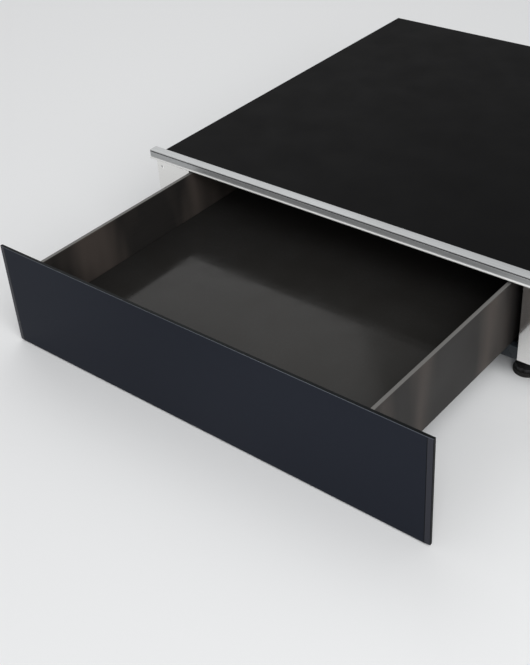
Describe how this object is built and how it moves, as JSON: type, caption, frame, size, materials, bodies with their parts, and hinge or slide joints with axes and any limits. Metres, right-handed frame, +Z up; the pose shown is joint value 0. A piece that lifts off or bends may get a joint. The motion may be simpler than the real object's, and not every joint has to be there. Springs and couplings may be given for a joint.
{
  "type": "built-in warming drawer",
  "caption": "Built-in heated drawer with a flat dark glass front, brushed steel walls and a black glass floor on full-extension ball runners in a steel housing.",
  "frame": {"origin": "on the centre line, in the plane of the housing's front flanges, at the level of the surface that carries the feet", "axes": "+X to the right seen from the front, -Y out of the front where the drawer opens, +Y into the cabinet, +Z up"},
  "size_m": [0.595, 0.826, 0.152],
  "materials": {
    "front_glass": "dark slate enamelled glass, polished, with ground end facets",
    "floor_glass": "black toughened glass, polished",
    "drawer_steel": "brushed stainless steel, satin",
    "trim_steel": "brushed stainless steel, grain along the length",
    "flange_steel": "polished stainless steel",
    "sill_steel": "dark grey-blue painted steel with a bright folded edge",
    "galvanised": "zinc-coated sheet steel, spangled",
    "black_cover": "black enamelled sheet steel, satin",
    "runner_steel": "bright zinc-plated roll-formed steel",
    "ball_steel": "polished ball steel in a plated cage",
    "screw_steel": "zinc-plated steel",
    "feet_plastic": "black moulded nylon",
    "pad_rubber": "black rubber",
    "seal_silicone": "black silicone",
    "heater_steel": "oxidised sheathed heating element",
    "motor_case": "die-cast motor case",
    "insulation": "mineral-fibre mat faced with foil",
    "control_plastic": "black moulded plastic",
    "duct_plastic": "grey moulded plastic",
    "lens": "amber indicator lens"
  },
  "bodies": {
    "housing": {"base_plate": "galvanised", "cable_duct": "duct_plastic", "duct_panel": "galvanised", "duct_seal": "seal_silicone", "fan_motor": "motor_case", "foot_pads": "pad_rubber", "front_flange_left": "flange_steel", "front_flange_right": "flange_steel", "front_header": "trim_steel", "front_sill": "sill_steel", "housing_screws": "screw_steel", "indicator_lens": "lens", "inlet_grille": "galvanised", "insulation_pad": "insulation", "latch_body": "control_plastic", "latch_spring": "screw_steel", "levelling_feet": "feet_plastic", "machine_screws": "screw_steel", "mains_gland": "feet_plastic", "motor_bracket": "galvanised", "rear_panel": "galvanised", "reed_sensor": "control_plastic", "ring_heater": "heater_steel", "rotary_switch": "control_plastic", "runner_brackets": "galvanised", "runner_rail_left": "runner_steel", "runner_rail_right": "runner_steel", "side_panel_left": "galvanised", "side_panel_right": "galvanised", "temperature_sensor": "screw_steel", "terminal_box": "duct_plastic", "terminal_lid": "duct_plastic", "thermal_cutout": "screw_steel", "top_cover": "black_cover", "top_trim": "trim_steel"},
    "drawer": {"front_glass": "front_glass", "front_stiffeners": "galvanised", "inner_front": "drawer_steel", "front_bumpers": "pad_rubber", "latch_striker": "screw_steel", "drawer_side_left": "drawer_steel", "drawer_side_right": "drawer_steel", "drawer_tray": "galvanised", "drawer_rear_panel": "drawer_steel", "floor_glass": "floor_glass", "floor_seal": "seal_silicone", "drawer_screws": "screw_steel", "runner_drawer_left": "runner_steel", "runner_drawer_right": "runner_steel"},
    "runner_middle_left": {"runner_middle_left": "runner_steel"},
    "runner_middle_right": {"runner_middle_right": "runner_steel"},
    "cage_lower_left": {"ball_cage_lower_left": "ball_steel"},
    "cage_lower_right": {"ball_cage_lower_right": "ball_steel"},
    "cage_upper_left": {"ball_cage_upper_left": "ball_steel"},
    "cage_upper_right": {"ball_cage_upper_right": "ball_steel"},
    "knob": {"temperature_knob": "control_plastic", "switch_spindle": "screw_steel"},
    "fan": {"fan_impeller": "galvanised", "fan_shaft": "screw_steel"},
    "plunger": {"latch_plunger": "control_plastic"}
  },
  "joints": [
    {"name": "drawer_slide", "type": "slide", "parent": "housing", "child": "drawer", "axis": [0, -1, 0], "range_m": [-0.254, 0.146]},
    {"name": "runner_middle_left_slide", "type": "slide", "parent": "housing", "child": "runner_middle_left", "axis": [0, -1, 0], "range_m": [-0.127, 0.073]},
    {"name": "runner_middle_right_slide", "type": "slide", "parent": "housing", "child": "runner_middle_right", "axis": [0, -1, 0], "range_m": [-0.127, 0.073]},
    {"name": "cage_lower_left_slide", "type": "slide", "parent": "housing", "child": "cage_lower_left", "axis": [0, -1, 0], "range_m": [-0.0635, 0.0365]},
    {"name": "cage_lower_right_slide", "type": "slide", "parent": "housing", "child": "cage_lower_right", "axis": [0, -1, 0], "range_m": [-0.0635, 0.0365]},
    {"name": "cage_upper_left_slide", "type": "slide", "parent": "housing", "child": "cage_upper_left", "axis": [0, -1, 0], "range_m": [-0.1905, 0.1095]},
    {"name": "cage_upper_right_slide", "type": "slide", "parent": "housing", "child": "cage_upper_right", "axis": [0, -1, 0], "range_m": [-0.1905, 0.1095]},
    {"name": "knob_turn", "type": "hinge", "parent": "housing", "child": "knob", "pos_m": [-0.26, 0, 0.092], "axis": [0, 1, 0], "range_deg": [0, 270]},
    {"name": "fan_spin", "type": "hinge", "parent": "housing", "child": "fan", "pos_m": [0, 0.49, 0.104], "axis": [0, 1, 0], "continuous": true},
    {"name": "latch_press", "type": "slide", "parent": "housing", "child": "plunger", "axis": [0, 1, 0], "range_m": [0, 0.0035], "stiffness_N_per_m": 400, "springref_m": -0.008, "deforming": ["latch_spring"]}
  ],
  "couplings": [
    {"joint": "runner_middle_left_slide", "follows": "drawer_slide", "ratio": 0.5},
    {"joint": "runner_middle_right_slide", "follows": "drawer_slide", "ratio": 0.5},
    {"joint": "cage_lower_left_slide", "follows": "drawer_slide", "ratio": 0.25},
    {"joint": "cage_lower_right_slide", "follows": "drawer_slide", "ratio": 0.25},
    {"joint": "cage_upper_left_slide", "follows": "drawer_slide", "ratio": 0.75},
    {"joint": "cage_upper_right_slide", "follows": "drawer_slide", "ratio": 0.75}
  ]
}
